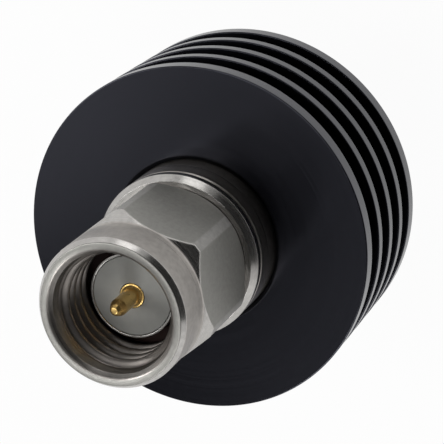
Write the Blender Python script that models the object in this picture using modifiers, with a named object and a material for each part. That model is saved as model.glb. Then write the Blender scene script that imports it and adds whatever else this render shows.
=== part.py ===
"""Coaxial attenuator with a threaded plug, a finned heat sink and a threaded jack.

The piece stands on its jack: +Z is the common axis and points to the plug,
and the origin is the centre of the jack's end face. All sizes are millimetres
and are turned into metres where the meshes are made.
"""

import math

import bmesh
import bpy
from mathutils import Matrix

MM = 0.001

# Fineness of the round shapes
BIG_STEPS = 48
SMALL_STEPS = 24
THREAD_STEPS = 24

# Main sizes: the length over all along Z, and the heat sink's diameter, which is the largest width
OVERALL_LENGTH = 29.85
SINK_DIAMETER = 19.60

# Small gaps between pieces that seat on each other, and the reach of cutters past what they cut
SEAT_GAP = 0.05
CUT_PAST = 0.80

# Centre line: the contact's socket takes a pin like the one on the plug
LINE_RADIUS = 0.635
LINE_EDGE = 0.07
SOCKET_WALL = 0.165
SOCKET_FIT = 0.015
SOCKET_BORE = LINE_RADIUS - SOCKET_WALL
SOCKET_DEPTH = 3.00
SOCKET_DRILL_POINT = 0.20
SOCKET_EDGE = 0.04
SOCKET_LEAD = 0.08
SOCKET_OUTER_EDGE = 0.06
SOCKET_SLOT = 0.16
SOCKET_SLOT_DEPTH = 2.30
PIN_RADIUS = SOCKET_BORE - SOCKET_FIT
PIN_TIP_STEP = 0.235
PIN_TIP_RADIUS = PIN_RADIUS - PIN_TIP_STEP
PIN_TAPER = 0.46
PIN_REACH = 2.20
LINE_COLLAR_STEP = 0.315
LINE_COLLAR_RADIUS = LINE_RADIUS + LINE_COLLAR_STEP
LINE_COLLAR_LENGTH = 0.50
LINE_TAIL_STEP = 0.235
LINE_TAIL_RADIUS = LINE_RADIUS - LINE_TAIL_STEP
LINE_TAIL_LENGTH = 1.00
LINE_TAIL_GAP = 0.10

# Outer line: the bore of both bodies, and the insulators and beads that fill it
LINE_BORE = 2.08
INSULATOR_GAP = 0.05
INSULATOR_RADIUS = LINE_BORE - INSULATOR_GAP
INSULATOR_BORE_GAP = 0.055
INSULATOR_BORE = LINE_RADIUS + INSULATOR_BORE_GAP
FACE_SETBACK = 0.02
PLUG_INSULATOR_LENGTH = 7.00
BEAD_LENGTH = 1.40

# Flanges and shanks, the same on the plug body and the jack body
FLANGE_THICKNESS = 0.75
FLANGE_GAP = 0.08
FLANGE_EDGE = 0.10
SHANK_WALL = 1.07
SHANK_RADIUS = LINE_BORE + SHANK_WALL
SHANK_LENGTH = 3.45
SHANK_EDGE = 0.15

# Ferrule of the plug and the neck that carries the nut
FERRULE_WALL = 0.20
FERRULE_RADIUS = LINE_BORE + FERRULE_WALL
FERRULE_LENGTH = 2.02
FERRULE_EDGE = 0.06
NECK_STEP = 0.47
NECK_RADIUS = FERRULE_RADIUS + NECK_STEP
NECK_LENGTH = 3.80
NECK_EDGE = 0.10

# Thread, cut as one helical groove: the jack's outside thread fits the nut's inside thread
THREAD_PITCH = 25.4 / 36
THREAD_DEPTH = 0.37
THREAD_CREST = 0.10
THREAD_CUT_PAST = 0.04

# Lengths in the nut's bore, which set how far the nut stands past the plug's flange
NUT_RELIEF_BELOW_NECK = 0.53
NUT_RELIEF_LENGTH = 1.75
NUT_THREAD_LENGTH = 2.60
NUT_LEAD_STEP = THREAD_DEPTH + 0.03
NUT_LEAD_DEPTH = 0.58
NUT_BORE_LENGTH = NUT_RELIEF_LENGTH + NUT_THREAD_LENGTH + NUT_LEAD_STEP + NUT_LEAD_DEPTH
NUT_PAST_FLANGE = NECK_LENGTH - NUT_RELIEF_BELOW_NECK + NUT_BORE_LENGTH

# Mouth and thread of the jack: the mouth takes a ferrule like the one on the plug
JACK_MOUTH_GAP = 0.04
JACK_MOUTH_RADIUS = FERRULE_RADIUS + JACK_MOUTH_GAP
JACK_MOUTH_DEPTH = 1.95
JACK_MOUTH_EDGE = 0.15
JACK_WALL = 0.81
JACK_THREAD_RADIUS = JACK_MOUTH_RADIUS + JACK_WALL
JACK_THREAD_LENGTH = 5.60
JACK_THREAD_EDGE = 0.30
JACK_RELIEF_DEPTH = THREAD_DEPTH + 0.11
JACK_RELIEF_RADIUS = JACK_THREAD_RADIUS - JACK_RELIEF_DEPTH
JACK_RELIEF_LENGTH = 0.70
JACK_THREAD_RUNOUT = 0.30
JACK_FLANGE_BOTTOM = JACK_THREAD_LENGTH + JACK_RELIEF_LENGTH
JACK_FLANGE_TOP = JACK_FLANGE_BOTTOM + FLANGE_THICKNESS
JACK_SHANK_TOP = JACK_FLANGE_TOP + SHANK_LENGTH
JACK_INSULATOR_PAST_FLANGE = 0.25
JACK_INSULATOR_TOP = JACK_FLANGE_TOP + JACK_INSULATOR_PAST_FLANGE

# Heights of the plug body, measured down from the nut's face
PLUG_FLANGE_TOP = OVERALL_LENGTH - NUT_PAST_FLANGE
PLUG_FLANGE_BOTTOM = PLUG_FLANGE_TOP - FLANGE_THICKNESS
PLUG_SHANK_BOTTOM = PLUG_FLANGE_BOTTOM - SHANK_LENGTH
NECK_TOP = PLUG_FLANGE_TOP + NECK_LENGTH
FERRULE_TOP = NECK_TOP + FERRULE_LENGTH

# Steel tube between the two flanges, which runs through the heat sink
TUBE_RADIUS = 4.58
TUBE_BORE = SHANK_RADIUS + SEAT_GAP
TUBE_EDGE = 0.10
TUBE_BOTTOM = JACK_FLANGE_TOP + FLANGE_GAP
TUBE_TOP = PLUG_FLANGE_BOTTOM - FLANGE_GAP

# Heat sink with five round fins on a core, halfway along the tube
SINK_RADIUS = SINK_DIAMETER / 2
SINK_GAP = 0.05
SINK_BORE = TUBE_RADIUS + SINK_GAP
SINK_BORE_EDGE = 0.21
SINK_MOUTH = SINK_BORE + SINK_BORE_EDGE
SINK_EDGE = 0.08
CORE_WALL = 1.47
CORE_RADIUS = SINK_BORE + CORE_WALL
FIN_COUNT = 5
GROOVE_WIDTH = 1.33
END_FIN = 0.91
MIDDLE_FIN = 0.67
SINK_LENGTH = 2 * END_FIN + (FIN_COUNT - 2) * MIDDLE_FIN + (FIN_COUNT - 1) * GROOVE_WIDTH
SINK_BOTTOM = (TUBE_BOTTOM + TUBE_TOP - SINK_LENGTH) / 2
SINK_TOP = SINK_BOTTOM + SINK_LENGTH

# Split ring that keeps the nut on the neck, and its groove, which lets the nut float
NUT_FLOAT = 0.25
RING_THICKNESS = 0.50
RING_WIDTH = 0.78
RING_SPLIT = 2.00
RING_GROOVE_DEPTH = 0.40
RING_GROOVE_RADIUS = NECK_RADIUS - RING_GROOVE_DEPTH
RING_GROOVE_UP = 1.62
RING_GROOVE_BOTTOM = PLUG_FLANGE_TOP + RING_GROOVE_UP
RING_GROOVE_TOP = RING_GROOVE_BOTTOM + RING_THICKNESS + NUT_FLOAT + 2 * SEAT_GAP
RING_INNER = RING_GROOVE_RADIUS + SEAT_GAP
RING_OUTER = RING_INNER + RING_WIDTH
RING_BOTTOM = RING_GROOVE_BOTTOM + SEAT_GAP
RING_TOP = RING_BOTTOM + RING_THICKNESS

# Soft sealing ring on the shoulder of the ferrule
GASKET_INNER = FERRULE_RADIUS + SEAT_GAP
GASKET_WIDTH = 0.77
GASKET_OUTER = GASKET_INNER + GASKET_WIDTH
GASKET_THICKNESS = 0.70

# Bore of the coupling nut: it fits the neck, the ring, the sealing ring and a jack's thread
NUT_NECK_GAP = 0.07
NUT_NECK_BORE = NECK_RADIUS + NUT_NECK_GAP
NUT_BORE_EDGE = 0.12
NUT_RING_GAP = 0.07
NUT_RING_GROOVE = RING_OUTER + NUT_RING_GAP
NUT_RELIEF_GAP = 0.20
NUT_RELIEF_RADIUS = GASKET_OUTER + NUT_RELIEF_GAP
NUT_THREAD_BITE = 0.33
NUT_THREAD_BORE = JACK_THREAD_RADIUS - NUT_THREAD_BITE
NUT_LEAD_RADIUS = NUT_THREAD_BORE + NUT_LEAD_STEP
NUT_FACE_EDGE = 0.25
NUT_FACE_INNER = NUT_LEAD_RADIUS + NUT_FACE_EDGE
NUT_BOTTOM = PLUG_FLANGE_TOP + SEAT_GAP
NUT_RELIEF_BOTTOM = NECK_TOP - NUT_RELIEF_BELOW_NECK
NUT_THREAD_BOTTOM = NUT_RELIEF_BOTTOM + NUT_RELIEF_LENGTH
NUT_THREAD_TOP = NUT_THREAD_BOTTOM + NUT_THREAD_LENGTH
NUT_LEAD_BOTTOM = NUT_THREAD_TOP + NUT_LEAD_STEP
NUT_TOP = PLUG_FLANGE_TOP + NUT_PAST_FLANGE

# Outside of the coupling nut: a round collar, then six flats whose corners two cones cut
NUT_WALL = 0.785
NUT_COLLAR_RADIUS = NUT_LEAD_RADIUS + NUT_WALL
NUT_COLLAR_LENGTH = 2.53
NUT_COLLAR_STEP = 0.015
NUT_FLATS = 2 * (NUT_COLLAR_RADIUS + NUT_COLLAR_STEP)
NUT_CORNER_STEP = 0.49
NUT_CORNER_RADIUS = NUT_COLLAR_RADIUS + NUT_CORNER_STEP
NUT_FRONT_CONE = 0.62
NUT_REAR_CONE = 0.92
NUT_FACE_CHAMFER = 0.365
NUT_FACE_OUTER = NUT_COLLAR_RADIUS - NUT_FACE_CHAMFER
NUT_FACE_DROP = 0.34
NUT_COLLAR_BOTTOM = NUT_TOP - NUT_COLLAR_LENGTH

# Slotted clips that join the centre line to the chip
CLIP_GAP = 0.05
CLIP_BORE = LINE_TAIL_RADIUS + CLIP_GAP
CLIP_WALL = 0.33
CLIP_OUTER = CLIP_BORE + CLIP_WALL
CLIP_LENGTH = 1.85
CLIP_SLOT_DEPTH = 0.80
CLIP_BEAD_GAP = 0.22

# Chip and the split sleeve that holds it
CHIP_THICKNESS = 0.38
CHIP_WIDTH = 3.60
CHIP_GAP = 0.05
CHIP_END_GAP = 0.10
SLEEVE_RADIUS = TUBE_BORE - SEAT_GAP
SLEEVE_PARTING = 0.03
CHANNEL_GAP = 0.22
CHANNEL_HALF = CLIP_OUTER + CHANNEL_GAP


def clear_scene():
    """Start from an empty scene."""
    for item in list(bpy.data.objects):
        bpy.data.objects.remove(item, do_unlink=True)


def new_collection(name):
    """Make a collection and link it to the scene."""
    collection = bpy.data.collections.new(name)
    bpy.context.scene.collection.children.link(collection)
    return collection


def new_material(name, colour, metallic, roughness):
    """Make a Principled material from a colour, a metallic value and a roughness."""
    material = bpy.data.materials.new(name)
    material.use_nodes = True
    shader = material.node_tree.nodes["Principled BSDF"]
    shader.inputs["Base Color"].default_value = (colour[0], colour[1], colour[2], 1.0)
    shader.inputs["Metallic"].default_value = metallic
    shader.inputs["Roughness"].default_value = roughness
    material.diffuse_color = (colour[0], colour[1], colour[2], 1.0)
    return material


def add_object(name, mesh, collection, material=None):
    """Link a mesh to the scene as a named object."""
    item = bpy.data.objects.new(name, mesh)
    collection.objects.link(item)
    if material is not None:
        mesh.materials.append(material)
    return item


def turned(name, profile, collection, material=None, steps=BIG_STEPS):
    """Turn a profile of (radius, height) points about the Z axis.

    The points run down the outer side and back up the bore. A profile that
    starts and ends on the axis is left open there and makes a solid piece.
    """
    mesh = bpy.data.meshes.new(name)
    shape = bmesh.new()
    corners = [shape.verts.new((r * MM, 0.0, z * MM)) for r, z in profile]
    for first, second in zip(corners, corners[1:]):
        shape.edges.new((first, second))
    on_axis = profile[0][0] == 0.0 and profile[-1][0] == 0.0
    if not on_axis:
        shape.edges.new((corners[-1], corners[0]))
    shape.to_mesh(mesh)
    shape.free()
    item = add_object(name, mesh, collection, material)
    screw = item.modifiers.new("Turn", "SCREW")
    screw.axis = "Z"
    screw.angle = math.tau
    screw.screw_offset = 0.0
    screw.steps = steps
    screw.render_steps = steps
    screw.use_merge_vertices = True
    screw.merge_threshold = 0.000001
    screw.use_smooth_shade = False
    return item


def block(name, collection, low, high, material=None):
    """Make a box between two opposite corners, given in millimetres."""
    mesh = bpy.data.meshes.new(name)
    shape = bmesh.new()
    bmesh.ops.create_cube(shape, size=1.0)
    size = [(h - l) * MM for l, h in zip(low, high)]
    centre = [(h + l) * 0.5 * MM for l, h in zip(low, high)]
    for vert in shape.verts:
        vert.co.x = vert.co.x * size[0] + centre[0]
        vert.co.y = vert.co.y * size[1] + centre[1]
        vert.co.z = vert.co.z * size[2] + centre[2]
    shape.to_mesh(mesh)
    shape.free()
    return add_object(name, mesh, collection, material)


def hexagon(name, collection, across_flats, low, high):
    """Make a hexagonal bar with corners on the Y axis and flats that face X."""
    mesh = bpy.data.meshes.new(name)
    shape = bmesh.new()
    radius = across_flats * 0.5 / math.cos(math.pi / 6) * MM
    bmesh.ops.create_cone(
        shape,
        cap_ends=True,
        segments=6,
        radius1=radius,
        radius2=radius,
        depth=(high - low) * MM,
    )
    for vert in shape.verts:
        vert.co.z += (high + low) * 0.5 * MM
    reach = max(shape.verts, key=lambda v: v.co.y)
    turn = math.pi / 2 - math.atan2(reach.co.y, reach.co.x)
    cosine = math.cos(turn)
    sine = math.sin(turn)
    for vert in shape.verts:
        x = vert.co.x * cosine - vert.co.y * sine
        y = vert.co.x * sine + vert.co.y * cosine
        vert.co.x = x
        vert.co.y = y
    shape.to_mesh(mesh)
    shape.free()
    return add_object(name, mesh, collection)


def as_cutter(item):
    """Hide an object that only cuts others."""
    item.hide_render = True
    item.display_type = "WIRE"
    return item


def cut(item, cutter, operation="DIFFERENCE"):
    """Cut an object with another one."""
    modifier = item.modifiers.new(cutter.name, "BOOLEAN")
    modifier.operation = operation
    modifier.solver = "EXACT"
    modifier.object = cutter
    return modifier


def thread_cutter(name, collection, crest_radius, root_radius, end_a, end_b):
    """Make the helical cutter of a thread between two heights.

    Its section is a V with the tip at the root radius, and it reaches a
    little past the crests. It keeps end_b and has whole turns, so its other
    end lies at end_a or further out.
    """
    turns = math.ceil(abs(end_b - end_a) / THREAD_PITCH)
    lowest = end_b - turns * THREAD_PITCH if end_b > end_a else end_b
    half = (THREAD_PITCH - THREAD_CREST) * 0.5
    outward = 1.0 if crest_radius > root_radius else -1.0
    past = THREAD_CUT_PAST * outward
    wide = half * (1.0 + THREAD_CUT_PAST / THREAD_DEPTH)
    section = [
        (root_radius, lowest),
        (crest_radius + past, lowest + wide),
        (crest_radius + past, lowest - wide),
    ]
    coil = turned(name, section, collection, steps=THREAD_STEPS)
    screw = coil.modifiers["Turn"]
    screw.screw_offset = THREAD_PITCH * MM
    screw.iterations = turns
    depsgraph = bpy.context.evaluated_depsgraph_get()
    swept = bpy.data.meshes.new_from_object(coil.evaluated_get(depsgraph))
    coil.modifiers.clear()
    shape = bmesh.new()
    shape.from_mesh(swept)
    bmesh.ops.holes_fill(shape, edges=shape.edges, sides=3)
    bmesh.ops.recalc_face_normals(shape, faces=shape.faces)
    bmesh.ops.rotate(shape, verts=shape.verts, matrix=Matrix.Rotation(math.pi / BIG_STEPS, 3, "Z"))
    shape.to_mesh(swept)
    shape.free()
    coil.data = swept
    return as_cutter(coil)


def smooth_rounds(item, angle=math.radians(28)):
    """Apply the modifiers, then shade smooth with sharp edges kept."""
    depsgraph = bpy.context.evaluated_depsgraph_get()
    finished = bpy.data.meshes.new_from_object(item.evaluated_get(depsgraph))
    item.modifiers.clear()
    item.data = finished
    finished.name = item.name
    finished.shade_smooth()
    finished.set_sharp_from_angle(angle=angle)


def heat_sink_profile():
    """Outline of the heat sink: five fins with four deep square grooves."""
    points = [(SINK_MOUTH, SINK_TOP)]
    height = SINK_TOP
    for fin in range(FIN_COUNT):
        last = fin == FIN_COUNT - 1
        thickness = END_FIN if fin in (0, FIN_COUNT - 1) else MIDDLE_FIN
        bottom = height - thickness
        if fin == 0:
            points.append((SINK_RADIUS - SINK_EDGE, height))
            points.append((SINK_RADIUS, height - SINK_EDGE))
        else:
            points.append((CORE_RADIUS, height))
            points.append((SINK_RADIUS, height))
        if last:
            points.append((SINK_RADIUS, bottom + SINK_EDGE))
            points.append((SINK_RADIUS - SINK_EDGE, bottom))
        else:
            points.append((SINK_RADIUS, bottom))
            points.append((CORE_RADIUS, bottom))
        height = bottom - GROOVE_WIDTH
    points.append((SINK_MOUTH, SINK_BOTTOM))
    points.append((SINK_BORE, SINK_BOTTOM + SINK_BORE_EDGE))
    points.append((SINK_BORE, SINK_TOP - SINK_BORE_EDGE))
    return points


def tube_profile():
    """Outline of the steel tube that carries the heat sink."""
    return [
        (TUBE_BORE, TUBE_TOP),
        (TUBE_RADIUS - TUBE_EDGE, TUBE_TOP),
        (TUBE_RADIUS, TUBE_TOP - TUBE_EDGE),
        (TUBE_RADIUS, TUBE_BOTTOM + TUBE_EDGE),
        (TUBE_RADIUS - TUBE_EDGE, TUBE_BOTTOM),
        (TUBE_BORE, TUBE_BOTTOM),
    ]


def plug_body_profile():
    """Outline of the plug body from the ferrule down to the shank."""
    return [
        (LINE_BORE, FERRULE_TOP),
        (FERRULE_RADIUS - FERRULE_EDGE, FERRULE_TOP),
        (FERRULE_RADIUS, FERRULE_TOP - FERRULE_EDGE),
        (FERRULE_RADIUS, NECK_TOP),
        (NECK_RADIUS - NECK_EDGE, NECK_TOP),
        (NECK_RADIUS, NECK_TOP - NECK_EDGE),
        (NECK_RADIUS, RING_GROOVE_TOP),
        (RING_GROOVE_RADIUS, RING_GROOVE_TOP),
        (RING_GROOVE_RADIUS, RING_GROOVE_BOTTOM),
        (NECK_RADIUS, RING_GROOVE_BOTTOM),
        (NECK_RADIUS, PLUG_FLANGE_TOP),
        (TUBE_RADIUS - FLANGE_EDGE, PLUG_FLANGE_TOP),
        (TUBE_RADIUS, PLUG_FLANGE_TOP - FLANGE_EDGE),
        (TUBE_RADIUS, PLUG_FLANGE_BOTTOM),
        (SHANK_RADIUS, PLUG_FLANGE_BOTTOM),
        (SHANK_RADIUS, PLUG_SHANK_BOTTOM + SHANK_EDGE),
        (SHANK_RADIUS - SHANK_EDGE, PLUG_SHANK_BOTTOM),
        (LINE_BORE, PLUG_SHANK_BOTTOM),
    ]


def nut_profile():
    """Outline of the nut before its six flats are milled.

    The two cones cut the corners of the hexagon at both ends, and the bore
    has, from the front, a lead-in, the threaded length, a relief and the
    neck bore with the groove for the split ring.
    """
    groove_bottom = RING_BOTTOM - SEAT_GAP
    groove_top = RING_TOP + SEAT_GAP
    return [
        (NUT_FACE_OUTER, NUT_TOP),
        (NUT_COLLAR_RADIUS, NUT_TOP - NUT_FACE_DROP),
        (NUT_COLLAR_RADIUS, NUT_COLLAR_BOTTOM),
        (NUT_CORNER_RADIUS, NUT_COLLAR_BOTTOM - NUT_FRONT_CONE),
        (NUT_CORNER_RADIUS, NUT_BOTTOM + NUT_REAR_CONE),
        (NUT_COLLAR_RADIUS, NUT_BOTTOM),
        (NUT_NECK_BORE + NUT_BORE_EDGE, NUT_BOTTOM),
        (NUT_NECK_BORE, NUT_BOTTOM + NUT_BORE_EDGE),
        (NUT_NECK_BORE, groove_bottom),
        (NUT_RING_GROOVE, groove_bottom),
        (NUT_RING_GROOVE, groove_top),
        (NUT_NECK_BORE, groove_top),
        (NUT_NECK_BORE, NUT_RELIEF_BOTTOM),
        (NUT_RELIEF_RADIUS, NUT_RELIEF_BOTTOM),
        (NUT_RELIEF_RADIUS, NUT_THREAD_BOTTOM),
        (NUT_THREAD_BORE, NUT_THREAD_BOTTOM),
        (NUT_THREAD_BORE, NUT_THREAD_TOP),
        (NUT_LEAD_RADIUS, NUT_LEAD_BOTTOM),
        (NUT_LEAD_RADIUS, NUT_TOP - NUT_FACE_EDGE),
        (NUT_FACE_INNER, NUT_TOP),
    ]


def pin_profile():
    """Outline of the plug's centre pin, from its tapered tip down to its tail."""
    face = FERRULE_TOP - FACE_SETBACK
    tip = FERRULE_TOP + PIN_REACH
    collar_top = FERRULE_TOP - FACE_SETBACK - PLUG_INSULATOR_LENGTH - SEAT_GAP
    collar_bottom = collar_top - LINE_COLLAR_LENGTH
    bead_bottom = collar_bottom - SEAT_GAP - BEAD_LENGTH
    tail_top = bead_bottom - LINE_TAIL_GAP
    return [
        (0.0, tip),
        (PIN_TIP_RADIUS, tip),
        (PIN_RADIUS, tip - PIN_TAPER),
        (PIN_RADIUS, face),
        (LINE_RADIUS - LINE_EDGE, face),
        (LINE_RADIUS, face - LINE_EDGE),
        (LINE_RADIUS, collar_top),
        (LINE_COLLAR_RADIUS, collar_top),
        (LINE_COLLAR_RADIUS, collar_bottom),
        (LINE_RADIUS, collar_bottom),
        (LINE_RADIUS, tail_top),
        (LINE_TAIL_RADIUS, tail_top),
        (LINE_TAIL_RADIUS, tail_top - LINE_TAIL_LENGTH),
        (0.0, tail_top - LINE_TAIL_LENGTH),
    ]


def jack_body_profile():
    """Outline of the jack body from the shank down to the threaded mouth."""
    return [
        (LINE_BORE, JACK_SHANK_TOP),
        (SHANK_RADIUS - SHANK_EDGE, JACK_SHANK_TOP),
        (SHANK_RADIUS, JACK_SHANK_TOP - SHANK_EDGE),
        (SHANK_RADIUS, JACK_FLANGE_TOP),
        (TUBE_RADIUS, JACK_FLANGE_TOP),
        (TUBE_RADIUS, JACK_FLANGE_BOTTOM + FLANGE_EDGE),
        (TUBE_RADIUS - FLANGE_EDGE, JACK_FLANGE_BOTTOM),
        (JACK_RELIEF_RADIUS, JACK_FLANGE_BOTTOM),
        (JACK_RELIEF_RADIUS, JACK_THREAD_LENGTH + JACK_THREAD_RUNOUT),
        (JACK_THREAD_RADIUS, JACK_THREAD_LENGTH),
        (JACK_THREAD_RADIUS, JACK_THREAD_EDGE),
        (JACK_THREAD_RADIUS - JACK_THREAD_EDGE, 0.0),
        (JACK_MOUTH_RADIUS + JACK_MOUTH_EDGE, 0.0),
        (JACK_MOUTH_RADIUS, JACK_MOUTH_EDGE),
        (JACK_MOUTH_RADIUS, JACK_MOUTH_DEPTH),
        (LINE_BORE, JACK_MOUTH_DEPTH),
    ]


def contact_profile():
    """Outline of the jack's socket contact, from its tail down to its open end."""
    face = JACK_MOUTH_DEPTH + FACE_SETBACK
    collar_bottom = JACK_INSULATOR_TOP + SEAT_GAP
    collar_top = collar_bottom + LINE_COLLAR_LENGTH
    tail_bottom = collar_top + SEAT_GAP + BEAD_LENGTH + LINE_TAIL_GAP
    return [
        (0.0, tail_bottom + LINE_TAIL_LENGTH),
        (LINE_TAIL_RADIUS, tail_bottom + LINE_TAIL_LENGTH),
        (LINE_TAIL_RADIUS, tail_bottom),
        (LINE_RADIUS, tail_bottom),
        (LINE_RADIUS, collar_top),
        (LINE_COLLAR_RADIUS, collar_top),
        (LINE_COLLAR_RADIUS, collar_bottom),
        (LINE_RADIUS, collar_bottom),
        (LINE_RADIUS, face + SOCKET_OUTER_EDGE),
        (LINE_RADIUS - SOCKET_OUTER_EDGE, face),
        (SOCKET_BORE + SOCKET_EDGE, face),
        (SOCKET_BORE, face + SOCKET_LEAD),
        (SOCKET_BORE, face + SOCKET_DEPTH),
        (0.0, face + SOCKET_DEPTH + SOCKET_DRILL_POINT),
    ]


def sleeve_profile(inner, outer, low, high):
    """Outline of a plain ring."""
    return [(inner, high), (outer, high), (outer, low), (inner, low)]


def build():
    """Make every piece of the attenuator."""
    clear_scene()
    parts = new_collection("rf_attenuator")
    cutters = new_collection("cutters")

    black = new_material("black_anodised", (0.012, 0.012, 0.014), 0.6, 0.38)
    steel = new_material("satin_steel", (0.52, 0.51, 0.48), 1.0, 0.32)
    dark_steel = new_material("spring_steel", (0.40, 0.39, 0.37), 1.0, 0.35)
    gold = new_material("gold_plate", (0.62, 0.42, 0.16), 1.0, 0.25)
    grey_plastic = new_material("grey_insulator", (0.15, 0.15, 0.145), 0.0, 0.55)
    white_plastic = new_material("white_insulator", (0.72, 0.71, 0.68), 0.0, 0.50)
    amber_plastic = new_material("amber_bead", (0.36, 0.20, 0.06), 0.0, 0.40)
    rubber = new_material("red_rubber", (0.16, 0.035, 0.02), 0.0, 0.70)
    brass = new_material("brass", (0.55, 0.40, 0.15), 1.0, 0.35)
    ceramic = new_material("white_ceramic", (0.78, 0.78, 0.74), 0.0, 0.45)

    turned("heat_sink", heat_sink_profile(), parts, black)
    turned("body_tube", tube_profile(), parts, steel)
    turned("plug_body", plug_body_profile(), parts, steel)

    # The nut is turned first, then its flats are milled by the hexagon
    nut = turned("coupling_nut", nut_profile(), parts, steel)
    hexagon_bar = as_cutter(
        hexagon("nut_hexagon", cutters, NUT_FLATS, NUT_BOTTOM - CUT_PAST, NUT_TOP + CUT_PAST)
    )
    cut(nut, hexagon_bar, "INTERSECT")
    nut_thread = thread_cutter(
        "nut_thread",
        cutters,
        NUT_THREAD_BORE,
        NUT_THREAD_BORE + THREAD_DEPTH,
        NUT_TOP,
        NUT_THREAD_BOTTOM - THREAD_PITCH * 0.5,
    )
    cut(nut, nut_thread)

    # Split ring, open on the +X side
    ring = turned(
        "nut_retaining_ring",
        sleeve_profile(RING_INNER, RING_OUTER, RING_BOTTOM, RING_TOP),
        parts,
        dark_steel,
    )
    half_split = RING_SPLIT * 0.5
    opening = as_cutter(
        block(
            "ring_opening",
            cutters,
            (RING_INNER - CUT_PAST, -half_split, RING_BOTTOM - CUT_PAST),
            (RING_OUTER + CUT_PAST, half_split, RING_TOP + CUT_PAST),
        )
    )
    cut(ring, opening)

    gasket_bottom = NECK_TOP + SEAT_GAP
    turned(
        "nut_gasket",
        sleeve_profile(GASKET_INNER, GASKET_OUTER, gasket_bottom, gasket_bottom + GASKET_THICKNESS),
        parts,
        rubber,
    )

    # Centre line of the plug
    face = FERRULE_TOP - FACE_SETBACK
    insulator_bottom = face - PLUG_INSULATOR_LENGTH
    turned("plug_pin", pin_profile(), parts, gold, SMALL_STEPS)
    turned(
        "plug_insulator",
        sleeve_profile(INSULATOR_BORE, INSULATOR_RADIUS, insulator_bottom, face),
        parts,
        grey_plastic,
        SMALL_STEPS,
    )
    bead_top = insulator_bottom - LINE_COLLAR_LENGTH - 2 * SEAT_GAP
    bead_bottom = bead_top - BEAD_LENGTH
    turned(
        "plug_bead",
        sleeve_profile(INSULATOR_BORE, INSULATOR_RADIUS, bead_bottom, bead_top),
        parts,
        amber_plastic,
        SMALL_STEPS,
    )

    # Centre line of the jack
    jack_face = JACK_MOUTH_DEPTH + FACE_SETBACK
    contact = turned("jack_contact", contact_profile(), parts, gold, SMALL_STEPS)
    half_slot = SOCKET_SLOT * 0.5
    slot_top = jack_face + SOCKET_SLOT_DEPTH
    slot_reach = LINE_RADIUS + CUT_PAST
    slot_start = jack_face - CUT_PAST
    slot_along_x = as_cutter(
        block(
            "socket_slot_x",
            cutters,
            (-slot_reach, -half_slot, slot_start),
            (slot_reach, half_slot, slot_top),
        )
    )
    slot_along_y = as_cutter(
        block(
            "socket_slot_y",
            cutters,
            (-half_slot, -slot_reach, slot_start),
            (half_slot, slot_reach, slot_top),
        )
    )
    cut(contact, slot_along_x)
    cut(contact, slot_along_y)
    turned(
        "jack_insulator",
        sleeve_profile(INSULATOR_BORE, INSULATOR_RADIUS, jack_face, JACK_INSULATOR_TOP),
        parts,
        white_plastic,
        SMALL_STEPS,
    )
    jack_bead_bottom = JACK_INSULATOR_TOP + LINE_COLLAR_LENGTH + 2 * SEAT_GAP
    jack_bead_top = jack_bead_bottom + BEAD_LENGTH
    turned(
        "jack_bead",
        sleeve_profile(INSULATOR_BORE, INSULATOR_RADIUS, jack_bead_bottom, jack_bead_top),
        parts,
        amber_plastic,
        SMALL_STEPS,
    )
    jack_body = turned("jack_body", jack_body_profile(), parts, steel)
    jack_thread = thread_cutter(
        "jack_thread",
        cutters,
        JACK_THREAD_RADIUS,
        JACK_THREAD_RADIUS - THREAD_DEPTH,
        -THREAD_PITCH * 0.5,
        JACK_THREAD_LENGTH + JACK_THREAD_RUNOUT * 0.5,
    )
    cut(jack_body, jack_thread)

    # Slotted clips that join the centre line to the chip
    plug_clip_top = bead_bottom - CLIP_BEAD_GAP
    plug_clip_bottom = plug_clip_top - CLIP_LENGTH
    jack_clip_bottom = jack_bead_top + CLIP_BEAD_GAP
    jack_clip_top = jack_clip_bottom + CLIP_LENGTH
    half_clip_slot = CHIP_THICKNESS * 0.5 + CHIP_GAP
    clip_reach = CLIP_OUTER + CUT_PAST
    plug_clip = turned(
        "plug_clip",
        sleeve_profile(CLIP_BORE, CLIP_OUTER, plug_clip_bottom, plug_clip_top),
        parts,
        gold,
        SMALL_STEPS,
    )
    plug_clip_slot = as_cutter(
        block(
            "plug_clip_slot",
            cutters,
            (-half_clip_slot, -clip_reach, plug_clip_bottom - CUT_PAST),
            (half_clip_slot, clip_reach, plug_clip_bottom + CLIP_SLOT_DEPTH),
        )
    )
    cut(plug_clip, plug_clip_slot)
    jack_clip = turned(
        "jack_clip",
        sleeve_profile(CLIP_BORE, CLIP_OUTER, jack_clip_bottom, jack_clip_top),
        parts,
        gold,
        SMALL_STEPS,
    )
    jack_clip_slot = as_cutter(
        block(
            "jack_clip_slot",
            cutters,
            (-half_clip_slot, -clip_reach, jack_clip_top - CLIP_SLOT_DEPTH),
            (half_clip_slot, clip_reach, jack_clip_top + CUT_PAST),
        )
    )
    cut(jack_clip, jack_clip_slot)

    # Chip, a thin ceramic plate that stands on edge between the clips
    chip_bottom = jack_clip_top - CLIP_SLOT_DEPTH + CHIP_END_GAP
    chip_top = plug_clip_bottom + CLIP_SLOT_DEPTH - CHIP_END_GAP
    half_chip = CHIP_THICKNESS * 0.5
    half_width = CHIP_WIDTH * 0.5
    block(
        "attenuator_chip",
        parts,
        (-half_chip, -half_width, chip_bottom),
        (half_chip, half_width, chip_top),
        ceramic,
    )

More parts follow.
